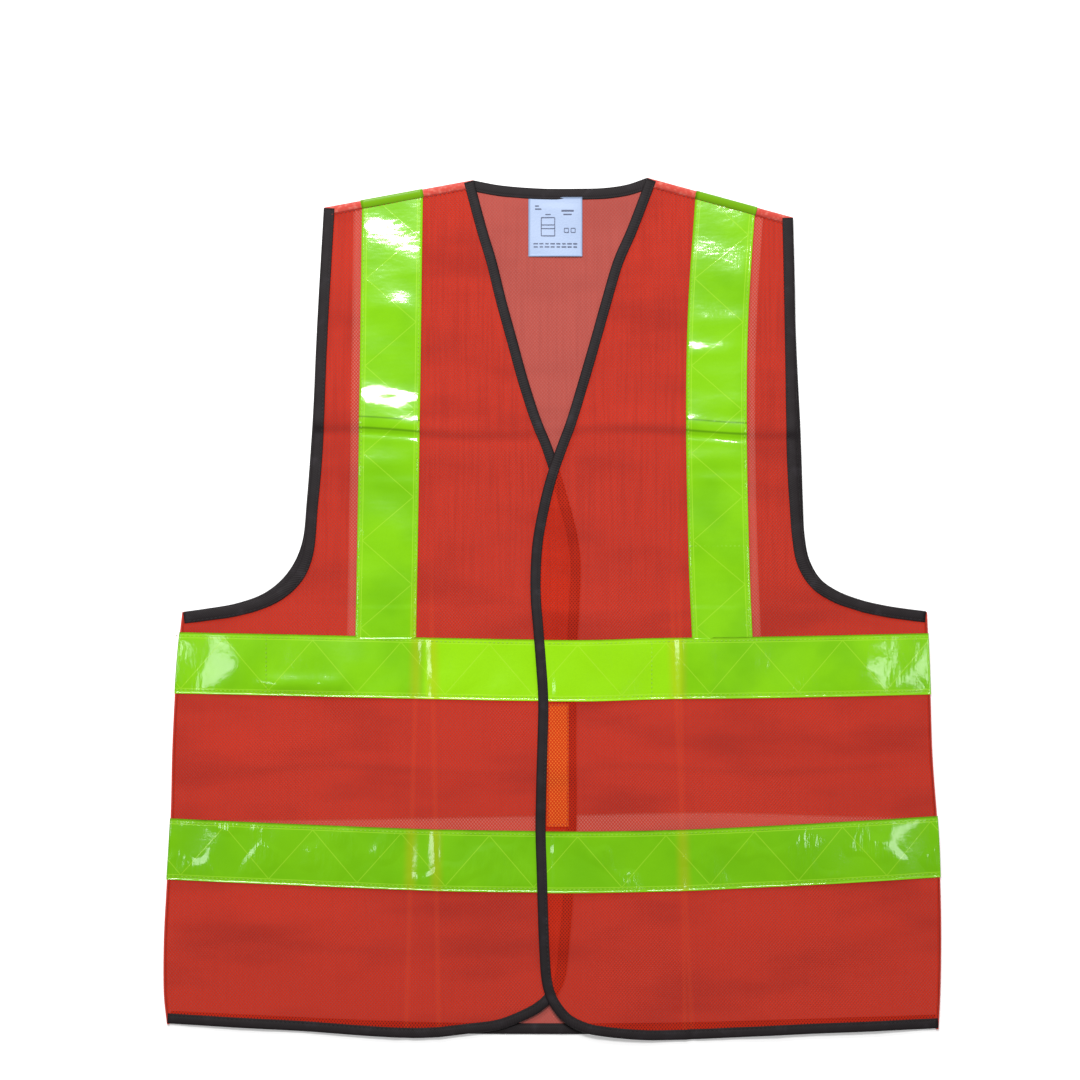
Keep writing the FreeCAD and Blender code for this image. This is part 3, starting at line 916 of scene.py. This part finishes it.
# the care label, sewn in under the neck binding and free to turn below it
low, high = box_mm("care_label")
LABEL_MIDDLE_X = 2.3
LABEL_TOP = 336.6
LABEL_BOTTOM = 288.0
label_centre = np.array([LABEL_MIDDLE_X, (LABEL_TOP + LABEL_BOTTOM) / 2])


def label_height(x, y):
    return back_height(x, y) + 0.3 + 0.9 * smooth((LABEL_TOP - y) / 48) + 0.35 * np.sin(x / 11)


def label_ends(offsets):
    return np.full_like(offsets, LABEL_BOTTOM), np.full_like(offsets, LABEL_TOP)


def hang_label(piece, nodes=()):
    """Leave the piece unattached where it is sewn in, with its placement baked into its points."""
    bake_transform(piece)
    if nodes:
        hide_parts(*nodes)


label = tape("care_label_satin", label_ends, lambda along: np.full_like(along, LABEL_MIDDLE_X),
             high[0] - low[0], label_height, 0.26, label_cloth, 2.0, upright=True, tuck=(0, 5))
hang_label(label, ["care_label"])


def bars(name, rectangles):
    """Flat printed marks on the label: (x, y, half width, half height) from the label's middle."""
    points, faces = [], []
    for x, y, wide, tall in rectangles:
        first = len(points)
        for dx, dy in ((-wide, -tall), (wide, -tall), (wide, tall), (-wide, tall)):
            px, py = label_centre + (x + dx, y + dy)
            points.append((px, py, float(label_height(px, py)) + 0.95))
        faces.append([first, first + 1, first + 2, first + 3])
    return new_mesh(name, points, faces, label_ink, np.array(points)[:, :2] * MM)


def frame_of(x, y, wide, tall, line):
    """The four bars of a rectangle's outline."""
    level_bars = [(x, y + tall, wide, line), (x, y - tall, wide, line)]
    upright_bars = [(x + wide, y, line, tall), (x - wide, y, line, tall)]
    return level_bars + upright_bars


garment_lines = [(-6, 1.5, 5.5, 0.25), (-6, -1.5, 5.5, 0.25), (-6, 10, 2.2, 0.3)]
pictogram = frame_of(-6, 0, 5.5, 7.5, 0.3) + garment_lines
care_marks = [mark for i in range(2) for mark in frame_of(9 + 5.5 * i, -3, 1.7, 1.7, 0.25)]
header = [(-15, 17, 1.6, 0.4), (-14, 14.5, 2.6, 0.4), (10, 13, 5.0, 0.7), (10, 10, 3.4, 0.5)]
footer = [(-16 + 4.6 * i, -14.0 - 2.6 * row, 1.9 - 0.25 * ((i + row) % 3), 0.45)
          for i in range(8) for row in range(2)]
hang_label(bars("care_label_print", pictogram + care_marks + header + footer))

# ---------------------------------------------------------------- a loop over the sides that does nothing
for side in SIGNS:
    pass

# ---------------------------------------------------------------- floor, light and camera
floor_mesh = bpy.data.meshes.new("floor")
floor_mesh.from_pydata([(-6, -6, 0), (6, -6, 0), (6, 6, 0), (-6, 6, 0)], [], [[0, 1, 2, 3]])
floor = bpy.data.objects.new("floor", floor_mesh)
bpy.context.scene.collection.objects.link(floor)
white = bpy.data.materials.new("floor_white")
white.use_nodes = True
finish = white.node_tree.nodes["Principled BSDF"].inputs
finish["Base Color"].default_value = (0.92, 0.92, 0.92, 1)
finish["Roughness"].default_value = 0.9
# a little light of its own keeps the floor white, as the photo's background is
finish["Emission Color"].default_value = (1, 1, 1, 1)
finish["Emission Strength"].default_value = 0.26
floor_mesh.materials.append(white)

world = bpy.data.worlds.new("studio")
world.use_nodes = True
world.node_tree.nodes["Background"].inputs["Color"].default_value = (1, 1, 1, 1)
world.node_tree.nodes["Background"].inputs["Strength"].default_value = 0.10
bpy.context.scene.world = world


def lamp(name, place, size, watts, aim=(0, 0, 0)):
    light = bpy.data.lights.new(name, "AREA")
    light.shape = "RECTANGLE"
    light.size, light.size_y = size
    light.energy = watts
    holder = bpy.data.objects.new(name, light)
    holder.location = place
    holder.rotation_euler = (Vector(aim) - Vector(place)).to_track_quat("-Z", "Y").to_euler()
    bpy.context.scene.collection.objects.link(holder)


lamp("top_softbox", (-0.1, 1.15, 2.7), (1.0, 0.38), 58)
lamp("low_window", (-0.5, 1.4, 1.6), (0.8, 0.5), 22)
lamp("left_strip", (-1.35, -0.25, 2.5), (0.3, 1.0), 7)
lamp("right_strip", (1.35, -0.25, 2.5), (0.3, 1.0), 7)

camera_data = bpy.data.cameras.new("camera")
camera_data.lens = 85
camera_data.sensor_width = 36
camera = bpy.data.objects.new("camera", camera_data)
camera.location = (-0.0102, 0.0564, 2.085)
bpy.context.scene.collection.objects.link(camera)
bpy.context.scene.camera = camera
bpy.context.scene.view_settings.view_transform = "Standard"

bpy.context.view_layer.update()
